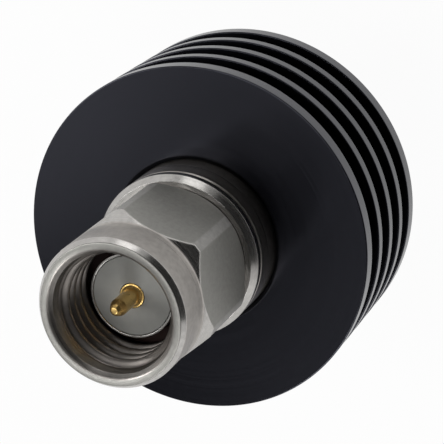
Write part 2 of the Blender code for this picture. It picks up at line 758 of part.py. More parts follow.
    # Split sleeve with a pocket for the chip and a channel for the centre line
    sleeve_bottom = JACK_SHANK_TOP + SEAT_GAP
    sleeve_top = PLUG_SHANK_BOTTOM - SEAT_GAP
    pocket = as_cutter(
        block(
            "chip_pocket",
            cutters,
            (-half_chip - CHIP_GAP, -half_width - CHIP_GAP, chip_bottom - CHIP_GAP),
            (half_chip + CHIP_GAP, half_width + CHIP_GAP, chip_top + CHIP_GAP),
        )
    )
    channel = as_cutter(
        block(
            "line_channel",
            cutters,
            (-CHANNEL_HALF, -CHANNEL_HALF, sleeve_bottom - CUT_PAST),
            (CHANNEL_HALF, CHANNEL_HALF, sleeve_top + CUT_PAST),
        )
    )
    sleeve_reach = SLEEVE_RADIUS + CUT_PAST
    sides = (("ground_sleeve_left", 1.0), ("ground_sleeve_right", -1.0))
    for name, side in sides:
        half = turned(
            name,
            sleeve_profile(0.0, SLEEVE_RADIUS, sleeve_bottom, sleeve_top),
            parts,
            brass,
        )
        near = -SLEEVE_PARTING * side
        far = sleeve_reach * side
        other = as_cutter(
            block(
                name + "_parting",
                cutters,
                (min(near, far), -sleeve_reach, sleeve_bottom - CUT_PAST),
                (max(near, far), sleeve_reach, sleeve_top + CUT_PAST),
            )
        )
        cut(half, other)
        cut(half, pocket)
        cut(half, channel)

    for item in list(parts.objects):
        smooth_rounds(item)


build()
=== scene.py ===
"""Looks for the coaxial attenuator: finely turned steel, black anodised fins and a gold centre line."""

import math

import bmesh
import bpy
import numpy as np
from mathutils import Matrix, Vector


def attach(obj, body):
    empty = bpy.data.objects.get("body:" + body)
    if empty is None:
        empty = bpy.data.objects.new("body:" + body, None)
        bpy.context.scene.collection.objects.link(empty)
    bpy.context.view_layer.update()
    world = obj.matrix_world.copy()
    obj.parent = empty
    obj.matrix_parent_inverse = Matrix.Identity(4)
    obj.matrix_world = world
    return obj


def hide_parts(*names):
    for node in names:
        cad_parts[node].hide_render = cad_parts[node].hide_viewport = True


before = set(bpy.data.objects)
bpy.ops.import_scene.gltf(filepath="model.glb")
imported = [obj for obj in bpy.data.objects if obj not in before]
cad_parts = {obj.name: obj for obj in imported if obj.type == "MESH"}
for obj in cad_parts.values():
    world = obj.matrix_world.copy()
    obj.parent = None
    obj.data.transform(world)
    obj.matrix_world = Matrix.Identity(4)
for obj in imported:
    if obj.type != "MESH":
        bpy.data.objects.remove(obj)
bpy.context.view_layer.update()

MM = 0.001
BODY = "attenuator"
NUT = "nut"

# Heights along the axis in millimetres, the same as in the part
SINK_BOTTOM = 9.20
SINK_TOP = 18.35
TUBE_BOTTOM = 7.13
TUBE_TOP = 20.42
PLUG_FLANGE_BOTTOM = 20.50
PLUG_FLANGE_TOP = 21.25
NECK_TOP = 25.05
FERRULE_TOP = 27.07
NUT_BOTTOM = 21.30
NUT_TOP = 29.85
JACK_FLANGE_TOP = 7.05
JACK_THREAD_TOP = 5.60
JACK_MOUTH_FLOOR = 1.95
RING_GROOVE_BOTTOM = 22.87

# Radii and the thread's pitch in millimetres, the same as in the part
FLANGE_RADIUS = 4.58
SHANK_RADIUS = 3.15
NECK_RADIUS = 2.75
FERRULE_RADIUS = 2.28
LINE_BORE = 2.08
INSULATOR_RADIUS = 2.03
INSULATOR_BORE = 0.69
LINE_RADIUS = 0.635
PIN_RADIUS = 0.455
THREAD_PITCH = 25.4 / 36

# Steps round a full turn
SMALL_STEPS = 120
FINE_STEPS = 240
NUT_STEPS = 360


# Shapes


def rounded(points, radius=0.05, arc=4, closed=True):
    """Round the corners of an outline, and add a support point beside each arc where there is room."""
    count = len(points)
    result = []
    for index, (r, z) in enumerate(points):
        here = np.array((r, z))
        if not closed and index in (0, count - 1):
            result.append(here)
            continue
        before = np.array(points[index - 1])
        after = np.array(points[(index + 1) % count])
        back = before - here
        ahead = after - here
        back_length = np.linalg.norm(back)
        ahead_length = np.linalg.norm(ahead)
        back = back / back_length
        ahead = ahead / ahead_length
        cosine = float(np.clip(back @ ahead, -1.0, 1.0))
        angle = math.acos(cosine)
        if angle > math.radians(172):
            result.append(here)
            continue
        reach = min(radius / math.tan(angle / 2), 0.42 * back_length, 0.42 * ahead_length)
        start = here + back * reach
        end = here + ahead * reach
        if reach < 0.35 * back_length:
            result.append(here + back * reach * 1.25)
        for step in range(arc + 1):
            t = step / arc
            result.append(start * (1 - t) ** 2 + here * 2 * t * (1 - t) + end * t ** 2)
        if reach < 0.35 * ahead_length:
            result.append(here + ahead * reach * 1.25)
    return [(float(p[0]), float(p[1])) for p in result]


def grid_mesh(name, rings, closed):
    """Make a mesh from an array of rings of points, shaped (rings, steps, 3), in millimetres."""
    count, steps, _ = rings.shape
    verts = (rings.reshape(-1, 3) * MM).tolist()
    faces = []
    last = count if closed else count - 1
    for i in range(last):
        low = i * steps
        high = ((i + 1) % count) * steps
        for j in range(steps):
            k = (j + 1) % steps
            faces.append((low + j, high + j, high + k, low + k))
    if not closed:
        top = len(verts)
        verts.append([0.0, 0.0, verts[0][2]])
        bottom = len(verts)
        verts.append([0.0, 0.0, verts[(count - 1) * steps][2]])
        base = (count - 1) * steps
        for j in range(steps):
            k = (j + 1) % steps
            faces.append((top, j, k))
            faces.append((bottom, base + k, base + j))
    mesh = bpy.data.meshes.new(name)
    mesh.from_pydata(verts, [], faces)
    mesh.update()
    return mesh


def place(name, mesh, body, slot, replaced, *materials):
    """Link a mesh as a piece that rides on a body and stands for CAD nodes."""
    piece = bpy.data.objects.new(name, mesh)
    bpy.context.scene.collection.objects.link(piece)
    for material in materials:
        mesh.materials.append(material)
    mesh.shade_smooth()
    mesh.set_sharp_from_angle(angle=math.radians(40))
    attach(piece, body)
    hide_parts(*replaced)
    return piece


def lathe(name, outline, body, slot, replaced, material, closed=True, steps=FINE_STEPS):
    """Turn an outline of (radius, height) points about the axis."""
    points = np.array(outline)
    turn = np.arange(steps) * math.tau / steps
    rings = np.empty((len(points), steps, 3))
    rings[:, :, 0] = points[:, :1] * np.cos(turn)
    rings[:, :, 1] = points[:, :1] * np.sin(turn)
    rings[:, :, 2] = points[:, 1:]
    return place(name, grid_mesh(name, rings, closed), body, slot, replaced, material)


def soft_min(a, b, width):
    """The smaller of two values, with the change from one to the other rounded."""
    h = np.clip(width - np.abs(a - b), 0, None) / width
    return np.minimum(a, b) - width * h * h / 4


def thread_depth(phase):
    """Depth of a thread from 0 at its crest to 1 at its root, rounded at both."""
    return 0.5 + 0.5 * np.cos(math.tau * phase)


# Materials


def new_material(name):
    """Start a node material and return its tree and its Principled shader."""
    material = bpy.data.materials.new(name)
    material.use_nodes = True
    tree = material.node_tree
    shader = tree.nodes["Principled BSDF"]
    return material, tree, shader


def link(tree, out, into):
    tree.links.new(out, into)


def noise(tree, scale, detail=4.0, stretch=(1, 1, 1), roughness=0.55):
    """Noise in object coordinates. Scale is in features per metre."""
    coords = tree.nodes.new("ShaderNodeTexCoord")
    mapping = tree.nodes.new("ShaderNodeMapping")
    mapping.inputs["Scale"].default_value = stretch
    texture = tree.nodes.new("ShaderNodeTexNoise")
    texture.inputs["Scale"].default_value = scale
    texture.inputs["Detail"].default_value = detail
    texture.inputs["Roughness"].default_value = roughness
    link(tree, coords.outputs["Object"], mapping.inputs["Vector"])
    link(tree, mapping.outputs["Vector"], texture.inputs["Vector"])
    return texture.outputs["Fac"]


def spread(tree, value, low, high, dark=0.3, light=0.7):
    """Spread a value between two levels."""
    ramp = tree.nodes.new("ShaderNodeMapRange")
    ramp.inputs["From Min"].default_value = dark
    ramp.inputs["From Max"].default_value = light
    ramp.inputs["To Min"].default_value = low
    ramp.inputs["To Max"].default_value = high
    link(tree, value, ramp.inputs["Value"])
    return ramp.outputs["Result"]


def colours(tree, value, low, high, dark=0.3, light=0.7):
    """Spread a value between two colours."""
    ramp = tree.nodes.new("ShaderNodeValToRGB")
    ramp.color_ramp.elements[0].position = dark
    ramp.color_ramp.elements[1].position = light
    ramp.color_ramp.elements[0].color = (*low, 1)
    ramp.color_ramp.elements[1].color = (*high, 1)
    link(tree, value, ramp.inputs["Fac"])
    return ramp.outputs["Color"]


def bump(tree, shader, value, height, strength=0.5):
    """Add a bump of a given height in metres."""
    node = tree.nodes.new("ShaderNodeBump")
    node.inputs["Strength"].default_value = strength
    node.inputs["Distance"].default_value = height
    link(tree, value, node.inputs["Height"])
    link(tree, node.outputs["Normal"], shader.inputs["Normal"])
    return node


def round_tangent(tree, shader, amount):
    """Give a turned surface the stretched gloss of its fine circular grooves."""
    tangent = tree.nodes.new("ShaderNodeTangent")
    tangent.direction_type = "RADIAL"
    tangent.axis = "Z"
    shader.inputs["Anisotropic"].default_value = amount
    shader.inputs["Anisotropic Rotation"].default_value = 0.25
    link(tree, tangent.outputs["Tangent"], shader.inputs["Tangent"])


def turning(tree, scale, detail=3.0, along=0.02):
    """Noise that hardly changes around the axis, like the marks of a lathe tool."""
    coords = tree.nodes.new("ShaderNodeTexCoord")
    parts = tree.nodes.new("ShaderNodeSeparateXYZ")
    flat = tree.nodes.new("ShaderNodeCombineXYZ")
    length = tree.nodes.new("ShaderNodeVectorMath")
    length.operation = "LENGTH"
    joined = tree.nodes.new("ShaderNodeCombineXYZ")
    angle = tree.nodes.new("ShaderNodeMath")
    angle.operation = "ARCTAN2"
    share = tree.nodes.new("ShaderNodeMath")
    share.operation = "MULTIPLY"
    share.inputs[1].default_value = along * MM
    texture = tree.nodes.new("ShaderNodeTexNoise")
    texture.inputs["Scale"].default_value = scale
    texture.inputs["Detail"].default_value = detail
    link(tree, coords.outputs["Object"], parts.inputs[0])
    link(tree, parts.outputs["X"], flat.inputs["X"])
    link(tree, parts.outputs["Y"], flat.inputs["Y"])
    link(tree, flat.outputs[0], length.inputs[0])
    link(tree, parts.outputs["Y"], angle.inputs[0])
    link(tree, parts.outputs["X"], angle.inputs[1])
    link(tree, angle.outputs[0], share.inputs[0])
    link(tree, length.outputs["Value"], joined.inputs["X"])
    link(tree, share.outputs[0], joined.inputs["Y"])
    link(tree, parts.outputs["Z"], joined.inputs["Z"])
    link(tree, joined.outputs[0], texture.inputs["Vector"])
    return texture.outputs["Fac"]


def metal(name, low, high, rough_low, rough_high, anisotropic=0.0, grain=9000.0, height=0.0000006):
    """A metal with small changes of tone and gloss and, if it is turned, the marks of the tool."""
    material, tree, shader = new_material(name)
    shader.inputs["Metallic"].default_value = 1.0
    tone = noise(tree, grain * 0.3, 3.0)
    if anisotropic:
        fine = turning(tree, grain)
        round_tangent(tree, shader, anisotropic)
    else:
        fine = noise(tree, grain, 3.0)
    link(tree, colours(tree, tone, low, high), shader.inputs["Base Color"])
    link(tree, spread(tree, fine, rough_low, rough_high), shader.inputs["Roughness"])
    bump(tree, shader, fine, height, 0.5)
    return material


def solid(
    name,
    low,
    high,
    rough_low,
    rough_high,
    ior=1.5,
    grain=6000.0,
    height=0.000002,
    turned=False,
    gloss=None,
):
    """A plastic, rubber, ceramic or anodised surface with a fine grain."""
    material, tree, shader = new_material(name)
    shader.inputs["Metallic"].default_value = 0.0
    shader.inputs["IOR"].default_value = ior
    if gloss:
        shader.inputs["Specular Tint"].default_value = (*gloss, 1)
    tone = noise(tree, grain * 0.2, 3.0)
    fine = turning(tree, grain) if turned else noise(tree, grain, 3.0)
    link(tree, colours(tree, tone, low, high), shader.inputs["Base Color"])
    link(tree, spread(tree, fine, rough_low, rough_high), shader.inputs["Roughness"])
    bump(tree, shader, fine, height, 0.4)
    return material


COARSE_GRAIN = 11000.0
FINE_GRAIN = 15000.0
TURNED_SHINE = 0.35

turned_steel = metal(
    "turned_steel",
    (0.360, 0.338, 0.316),
    (0.450, 0.425, 0.399),
    0.27,
    0.41,
    TURNED_SHINE,
    COARSE_GRAIN,
    0.0000022,
)
smooth_steel = metal(
    "smooth_steel",
    (0.420, 0.407, 0.390),
    (0.490, 0.476, 0.457),
    0.21,
    0.29,
    TURNED_SHINE,
    COARSE_GRAIN,
    0.0000010,
)
# The nut's inside thread and relief: the same steel with its base colour darkened, a painted shade of the
# hollow inside the nut
shaded_thread_steel = metal(
    "shaded_thread_steel",
    (0.330, 0.302, 0.280),
    (0.380, 0.348, 0.322),
    0.30,
    0.36,
    height=0.00000005,
)
milled_steel = metal(
    "milled_steel",
    (0.362, 0.356, 0.334),
    (0.416, 0.409, 0.385),
    0.42,
    0.56,
    grain=FINE_GRAIN,
    height=0.0000025,
)
edge_steel = metal(
    "edge_steel",
    (0.400, 0.391, 0.377),
    (0.490, 0.480, 0.462),
    0.47,
    0.61,
    grain=COARSE_GRAIN,
    height=0.0000020,
)
spring_steel = metal("spring_steel", (0.38, 0.37, 0.35), (0.44, 0.43, 0.41), 0.28, 0.40, 0.3)
gold_plate = metal(
    "gold_plate",
    (0.80, 0.54, 0.19),
    (0.86, 0.59, 0.22),
    0.27,
    0.32,
    height=0.00000006,
)
brass = metal("brass", (0.52, 0.38, 0.14), (0.60, 0.44, 0.18), 0.28, 0.38, 0.2)
black_anodised = solid(
    "black_anodised",
    (0.0030, 0.0030, 0.0042),
    (0.0044, 0.0045, 0.0060),
    0.20,
    0.25,
    1.46,
    12000.0,
    0.0000012,
    True,
    (0.80, 0.82, 1.0),
)
# The plug's insulator is white like the jack's; its grey base colour is painted shade of the nut's
# hollow, where it sits
grey_insulator = solid(
    "grey_insulator",
    (0.258, 0.258, 0.243),
    (0.285, 0.285, 0.268),
    0.50,
    0.60,
    1.40,
)
white_insulator = solid("white_insulator", (0.70, 0.69, 0.66), (0.76, 0.75, 0.72), 0.45, 0.55, 1.36)
amber_bead = solid("amber_bead", (0.32, 0.17, 0.05), (0.40, 0.22, 0.07), 0.35, 0.45)
# The gasket's colour is partly its own red rubber and mostly painted shade of the gap inside the nut,
# darkened almost to black
red_rubber = solid("red_rubber", (0.024, 0.010, 0.008), (0.034, 0.014, 0.011), 0.62, 0.75, 1.36)
white_ceramic = solid("white_ceramic", (0.74, 0.74, 0.70), (0.80, 0.80, 0.77), 0.40, 0.50, 1.7)


# Heat sink

SINK_RADIUS = 9.80
CORE_RADIUS = 6.10
FIN_COUNT = 5
END_FIN = 0.91
MIDDLE_FIN = 0.67
GROOVE_WIDTH = 1.33
SINK_BORE = 4.63
SINK_MOUTH = 4.84
FIN_ROUNDING = 0.07


def heat_sink():
    """The heat sink with its fins' edges and groove corners eased."""
    outline = [(SINK_MOUTH, SINK_TOP)]
    height = SINK_TOP
    for fin in range(FIN_COUNT):
        ends = fin in (0, FIN_COUNT - 1)
        bottom = height - (END_FIN if ends else MIDDLE_FIN)
        if fin:
            outline.append((CORE_RADIUS, height))
        outline.append((SINK_RADIUS, height))
        outline.append((SINK_RADIUS, bottom))
        if fin < FIN_COUNT - 1:
            outline.append((CORE_RADIUS, bottom))
        height = bottom - GROOVE_WIDTH
    chamfer = SINK_MOUTH - SINK_BORE
    outline.append((SINK_MOUTH, SINK_BOTTOM))
    outline.append((SINK_BORE, SINK_BOTTOM + chamfer))
    outline.append((SINK_BORE, SINK_TOP - chamfer))
    lathe("fins", rounded(outline, FIN_ROUNDING), BODY, "black_anodised", ["heat_sink"], black_anodised)


heat_sink()

# Tube, plug body and their neighbours

TUBE_BORE = 3.20
EDGE = 0.10
SMALL_ROUNDING = 0.03

tube = [
    (TUBE_BORE, TUBE_TOP),
    (FLANGE_RADIUS - EDGE, TUBE_TOP),
    (FLANGE_RADIUS, TUBE_TOP - EDGE),
    (FLANGE_RADIUS, TUBE_BOTTOM + EDGE),
    (FLANGE_RADIUS - EDGE, TUBE_BOTTOM),
    (TUBE_BORE, TUBE_BOTTOM),
]
lathe("tube", rounded(tube, SMALL_ROUNDING), BODY, "satin_steel", ["body_tube"], turned_steel)

FERRULE_LIP = 2.17
FERRULE_LEAD = 0.16
RING_GROOVE_RADIUS = 2.35
RING_GROOVE_TOP = 23.72
FLANGE_EASE_IN = 0.30
FLANGE_EASE_DOWN = 0.36
PLUG_SHANK_BOTTOM = 17.05

plug = [
    (LINE_BORE, FERRULE_TOP - FERRULE_LEAD),
    (FERRULE_LIP, FERRULE_TOP),
    (FERRULE_RADIUS, FERRULE_TOP),
    (FERRULE_RADIUS, NECK_TOP),
    (NECK_RADIUS, NECK_TOP),
    (NECK_RADIUS, RING_GROOVE_TOP),
    (RING_GROOVE_RADIUS, RING_GROOVE_TOP),
    (RING_GROOVE_RADIUS, RING_GROOVE_BOTTOM),
    (NECK_RADIUS, RING_GROOVE_BOTTOM),
    (NECK_RADIUS, PLUG_FLANGE_TOP),
    (FLANGE_RADIUS - FLANGE_EASE_IN, PLUG_FLANGE_TOP),
    (FLANGE_RADIUS, PLUG_FLANGE_TOP - FLANGE_EASE_DOWN),
    (FLANGE_RADIUS, PLUG_FLANGE_BOTTOM),
    (SHANK_RADIUS, PLUG_FLANGE_BOTTOM),
    (SHANK_RADIUS, PLUG_SHANK_BOTTOM),
    (LINE_BORE, PLUG_SHANK_BOTTOM),
]
lathe("plug_shell", rounded(plug, SMALL_ROUNDING), BODY, "satin_steel", ["plug_body"], smooth_steel)

GASKET_INNER = 2.33
GASKET_OUTER = 3.10
GASKET_BOTTOM = 25.10
GASKET_TOP = 25.80
GASKET_ROUNDING = 0.12

gasket = [
    (GASKET_INNER, GASKET_TOP),
    (GASKET_OUTER, GASKET_TOP),
    (GASKET_OUTER, GASKET_BOTTOM),
    (GASKET_INNER, GASKET_BOTTOM),
]
soft_gasket = rounded(gasket, GASKET_ROUNDING)
lathe("gasket", soft_gasket, BODY, "red_rubber", ["nut_gasket"], red_rubber, steps=SMALL_STEPS)

INSULATOR_TOP = 27.04
INSULATOR_BOTTOM = 20.05

insulator = [
    (0.67, INSULATOR_TOP),
    (2.14, INSULATOR_TOP),
    (INSULATOR_RADIUS, 26.86),
    (INSULATOR_RADIUS, INSULATOR_BOTTOM),
    (INSULATOR_BORE, INSULATOR_BOTTOM),
    (INSULATOR_BORE, 26.95),
]
dielectric = rounded(insulator, SMALL_ROUNDING)
lathe("plug_dielectric", dielectric, BODY, "grey_insulator", ["plug_insulator"], grey_insulator)

PIN_TIP = 29.27
PIN_FOOT = 27.17
PIN_ROUNDING = 0.10
SHOULDER_TOP = 27.05
COLLAR_OUTER = 0.95
TAIL_RADIUS = 0.40

pin = [
    (0.0, PIN_TIP),
    (0.17, PIN_TIP - 0.01),
    (0.31, PIN_TIP - 0.17),
    (PIN_RADIUS, PIN_TIP - 0.55),
    (PIN_RADIUS, PIN_FOOT),
    (0.58, SHOULDER_TOP),
    (0.65, SHOULDER_TOP),
    (0.65, 26.80),
    (LINE_RADIUS, 26.80),
    (LINE_RADIUS, 20.00),
    (COLLAR_OUTER, 20.00),
    (COLLAR_OUTER, 19.50),
    (LINE_RADIUS, 19.50),
    (LINE_RADIUS, 17.95),
    (TAIL_RADIUS, 17.95),
    (TAIL_RADIUS, 16.95),
    (0.0, 16.95),
]
eased_pin = rounded(pin, PIN_ROUNDING, closed=False)
lathe("centre_pin", eased_pin, BODY, "gold_plate", ["plug_pin"], gold_plate, False, SMALL_STEPS)

# Coupling nut

HALF_FLATS = 4.0
CORNER_RADIUS = 4.475
CORNER_ROUNDING = 0.045
COLLAR_RADIUS = 3.985
COLLAR_FOOT = 27.36
NOSE_BOTTOM = 29.55
NOSE_ROUNDING = 0.09
RIM_RADIUS = 3.78
FRONT_CONE = (26.70, 27.30)
FRONT_CONE_RADIUS = 4.03
REAR_CONE = (21.34, 22.22)
CORNER_SPAN = (22.25, 26.65)
NUT_BORE = 2.82
NUT_BORE_EDGE = 0.12
NUT_RING_GROOVE = 3.25
NUT_RING_GROOVE_TOP = 23.47
NUT_RELIEF_RADIUS = 3.30
NUT_RELIEF_BOTTOM = 24.52
NUT_MOUTH_RADIUS = 3.45

# The nut's inside thread: its crests, its ends, its depth, and the height at which the helix starts
NUT_THREAD_CREST = 2.80
NUT_THREAD_BOTTOM = 26.30
NUT_THREAD_TOP = 29.05
NUT_THREAD_DEPTH = 0.375
NUT_THREAD_FADE = 0.30
NUT_LEAD_DEPTH = 0.36
NUT_THREAD_START = 25.910

# Places of the nut's finishes in its list of materials
TURNED, MILLED, EDGED, THREADED, SMOOTH = range(5)


def nut_outline():
    """Rings of the nut: radius, height, finish, whether the flats cut it, and whether it is thread."""
    rings = []

    def run(points, step, finish=TURNED, milled=False, threaded=False):
        for (r0, z0), (r1, z1) in zip(points, points[1:]):
            length = math.hypot(r1 - r0, z1 - z0)
            parts = max(1, round(length / step))
            for part in range(parts):
                t = part / parts
                rings.append((r0 + (r1 - r0) * t, z0 + (z1 - z0) * t, finish, milled, threaded))

    collar_top = (COLLAR_RADIUS, 28.60)
    nose = [(NUT_MOUTH_RADIUS, NUT_TOP), (3.77, NUT_TOP), (COLLAR_RADIUS, NOSE_BOTTOM), collar_top]
    run(rounded(nose, NOSE_ROUNDING, closed=False), 0.2)
    for index, (r, z, _, milled, threaded) in enumerate(rings):
        if r < COLLAR_RADIUS - 0.005:
            rings[index] = (r, z, SMOOTH if r > RIM_RADIUS else MILLED, milled, threaded)

    cone_top = (FRONT_CONE_RADIUS, FRONT_CONE[1])
    run([collar_top, (COLLAR_RADIUS, COLLAR_FOOT), cone_top], 0.08, milled=True)
    run([cone_top, (CORNER_RADIUS, FRONT_CONE[0])], 0.022, milled=True)
    corner_heights = (FRONT_CONE[0], FRONT_CONE[0] - 0.08, REAR_CONE[1] + 0.08, REAR_CONE[1])
    run([(CORNER_RADIUS, z) for z in corner_heights], 0.35, milled=True)
    cone_bottom = (COLLAR_RADIUS, REAR_CONE[0])
    run([(CORNER_RADIUS, REAR_CONE[1]), cone_bottom], 0.026, milled=True)

    bore_edge = (NUT_BORE, NUT_BOTTOM + NUT_BORE_EDGE)
    rear_face = [(3.93, NUT_BOTTOM), (3.0, NUT_BOTTOM), (NUT_BORE + NUT_BORE_EDGE, NUT_BOTTOM)]
    run([cone_bottom, *rear_face, bore_edge], 0.3, SMOOTH)
    groove = [
        (NUT_BORE, RING_GROOVE_BOTTOM),
        (NUT_RING_GROOVE, RING_GROOVE_BOTTOM),
        (NUT_RING_GROOVE, NUT_RING_GROOVE_TOP),
        (NUT_BORE, NUT_RING_GROOVE_TOP),
    ]
    bore_top = (NUT_BORE, NUT_RELIEF_BOTTOM)
    run([bore_edge, *groove, bore_top], 0.5)
    relief = [
        (NUT_RELIEF_RADIUS, NUT_RELIEF_BOTTOM),
        (NUT_RELIEF_RADIUS, NUT_THREAD_BOTTOM - 0.03),
        (NUT_RELIEF_RADIUS - 0.08, NUT_THREAD_BOTTOM),
    ]
    run([bore_top, *relief], 0.5, THREADED)
    thread = [(NUT_THREAD_CREST, NUT_THREAD_BOTTOM), (NUT_THREAD_CREST, NUT_THREAD_TOP)]
    run(thread, 0.028, THREADED, threaded=True)
    lead = [(3.16, 29.06), (3.20, 29.30), (3.20, 29.60), (NUT_MOUTH_RADIUS, NUT_TOP)]
    run(rounded(lead, 0.05, closed=False), 0.2)
    return rings


def coupling_nut():
    """The nut: one grid of rings, with six flats, eased edges and an inside thread."""
    rows = nut_outline()
    steps = NUT_STEPS
    turn = np.arange(steps) * math.tau / steps
    sector = (turn + math.pi / 6) % (math.pi / 3) - math.pi / 6
    flats = HALF_FLATS / np.cos(sector)
    depth = NUT_THREAD_DEPTH
    rings = np.empty((len(rows), steps, 3))
    normals = np.zeros((len(rows), steps, 3))
    surface = np.zeros((len(rows), steps), int)
    for index, (r, z, finish, milled, threaded) in enumerate(rows):
        radius = np.full(steps, r)
        surface[index] = finish
        if milled:
            radius = soft_min(radius, flats, CORNER_ROUNDING)
            on_corner = CORNER_SPAN[0] < z < CORNER_SPAN[1]
            between = EDGED if on_corner else TURNED if z > COLLAR_FOOT - 0.04 else SMOOTH
            surface[index] = np.where(flats < r, MILLED, between)
        if threaded:
            fade = np.clip((NUT_THREAD_TOP - z) / NUT_THREAD_FADE, 0, 1)
            phase = (z - NUT_THREAD_START) / THREAD_PITCH - turn / math.tau
            radius = r + np.maximum(thread_depth(phase) * depth, (1 - fade) * NUT_LEAD_DEPTH)
            rise = thread_depth(phase + 0.01) - thread_depth(phase - 0.01)
            slope = rise * depth / (0.02 * THREAD_PITCH)
            around = -slope * THREAD_PITCH / math.tau / radius
            normals[index, :, 0] = -np.cos(turn) - around * np.sin(turn)
            normals[index, :, 1] = -np.sin(turn) + around * np.cos(turn)
            normals[index, :, 2] = slope
            if fade < 1 or z < NUT_THREAD_BOTTOM + 0.03:
                normals[index] = 0
        rings[index, :, 0] = radius * np.cos(turn)
        rings[index, :, 1] = radius * np.sin(turn)
        rings[index, :, 2] = z
    mesh = grid_mesh("hex_nut", rings, True)
    finishes = (turned_steel, milled_steel, edge_steel, shaded_thread_steel, smooth_steel)
    place("hex_nut", mesh, NUT, "satin_steel", ["coupling_nut"], *finishes)
    mesh.polygons.foreach_set("material_index", surface.reshape(-1).tolist())
    lengths = np.linalg.norm(normals, axis=2, keepdims=True)
    normals = normals / np.maximum(lengths, 1e-9)
    mesh.normals_split_custom_set_from_vertices(normals.reshape(-1, 3).tolist())


coupling_nut()

# Jack with its outside thread

JACK_RELIEF_RADIUS = 2.65
JACK_RELIEF_TOP = 6.30
JACK_RELIEF_BOTTOM = 5.90
JACK_SHANK_TOP = 10.50
JACK_MOUTH_RADIUS = 2.32
JACK_MOUTH_EDGE = 0.15

# The jack's outside thread: its roots, its depth, its fades, and the height at which the helix starts
JACK_THREAD_ROOT = 2.78
JACK_THREAD_DEPTH = 0.37
JACK_THREAD_ROWS = 111
JACK_THREAD_STEP = 0.05
JACK_THREAD_START = -0.6073
JACK_END_FADE = 0.40
JACK_RUNOUT = 0.25


def jack():
    """The jack body with a rolled outside thread, and its insulator."""
    top = [
        (LINE_BORE, JACK_SHANK_TOP),
        (SHANK_RADIUS, JACK_SHANK_TOP),
        (SHANK_RADIUS, JACK_FLANGE_TOP),
        (FLANGE_RADIUS, JACK_FLANGE_TOP),
        (FLANGE_RADIUS, JACK_RELIEF_TOP + 0.09),
        (FLANGE_RADIUS - 0.09, JACK_RELIEF_TOP),
        (JACK_RELIEF_RADIUS, JACK_RELIEF_TOP),
        (JACK_RELIEF_RADIUS, JACK_RELIEF_BOTTOM),
        (JACK_THREAD_ROOT, JACK_THREAD_TOP + 0.02),
    ]
    mouth = [
        (2.80, 0.05),
        (2.76, 0.0),
        (JACK_MOUTH_RADIUS + JACK_MOUTH_EDGE, 0.0),
        (JACK_MOUTH_RADIUS, JACK_MOUTH_EDGE),
        (JACK_MOUTH_RADIUS, JACK_MOUTH_FLOOR),
        (LINE_BORE, JACK_MOUTH_FLOOR),
    ]
    rows = [(r, z, False) for r, z in rounded(top, 0.04, closed=False)]
    for index in range(JACK_THREAD_ROWS):
        rows.append((JACK_THREAD_ROOT, JACK_THREAD_TOP - index * JACK_THREAD_STEP, True))
    rows += [(r, z, False) for r, z in rounded(mouth, SMALL_ROUNDING, closed=False)]
    steps = FINE_STEPS
    turn = np.arange(steps) * math.tau / steps
    rings = np.empty((len(rows), steps, 3))
    for index, (r, z, threaded) in enumerate(rows):
        radius = np.full(steps, r)
        if threaded:
            cut = 1 - thread_depth((z - JACK_THREAD_START) / THREAD_PITCH - turn / math.tau)
            end_fade = max(0.0, (z - 0.05) / JACK_END_FADE)
            runout = max(0.0, (JACK_THREAD_TOP - z) / JACK_RUNOUT)
            radius = r + JACK_THREAD_DEPTH * np.minimum(cut, min(1.0, end_fade, runout))
        rings[index, :, 0] = radius * np.cos(turn)
        rings[index, :, 1] = radius * np.sin(turn)
        rings[index, :, 2] = z
    mesh = grid_mesh("jack_shell", rings, True)
    place("jack_shell", mesh, BODY, "satin_steel", ["jack_body"], turned_steel)
    block = [
        (INSULATOR_BORE, 7.30),
        (INSULATOR_RADIUS, 7.30),
        (INSULATOR_RADIUS, JACK_MOUTH_FLOOR + 0.02),
        (INSULATOR_BORE, JACK_MOUTH_FLOOR + 0.02),
    ]
    eased = rounded(block, SMALL_ROUNDING)
    lathe("jack_dielectric", eased, BODY, "white_insulator", ["jack_insulator"], white_insulator)


jack()

# Inner pieces keep their own shapes

finishes = {
    "nut_retaining_ring": spring_steel,
    "plug_bead": amber_bead,
    "plug_clip": gold_plate,
    "jack_clip": gold_plate,
    "jack_bead": amber_bead,
    "jack_contact": gold_plate,
    "attenuator_chip": white_ceramic,
    "ground_sleeve_left": brass,
    "ground_sleeve_right": brass,
}
for node_name, finish in finishes.items():
    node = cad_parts[node_name]
    node.data.materials.clear()
    node.data.materials.append(finish)

# Floor, backdrop and the dark card that stands for the unlit side of the studio

FLOOR_GREY = 0.85
FLOOR_GLOW = 0.96
FLOOR_HALF = 2.0


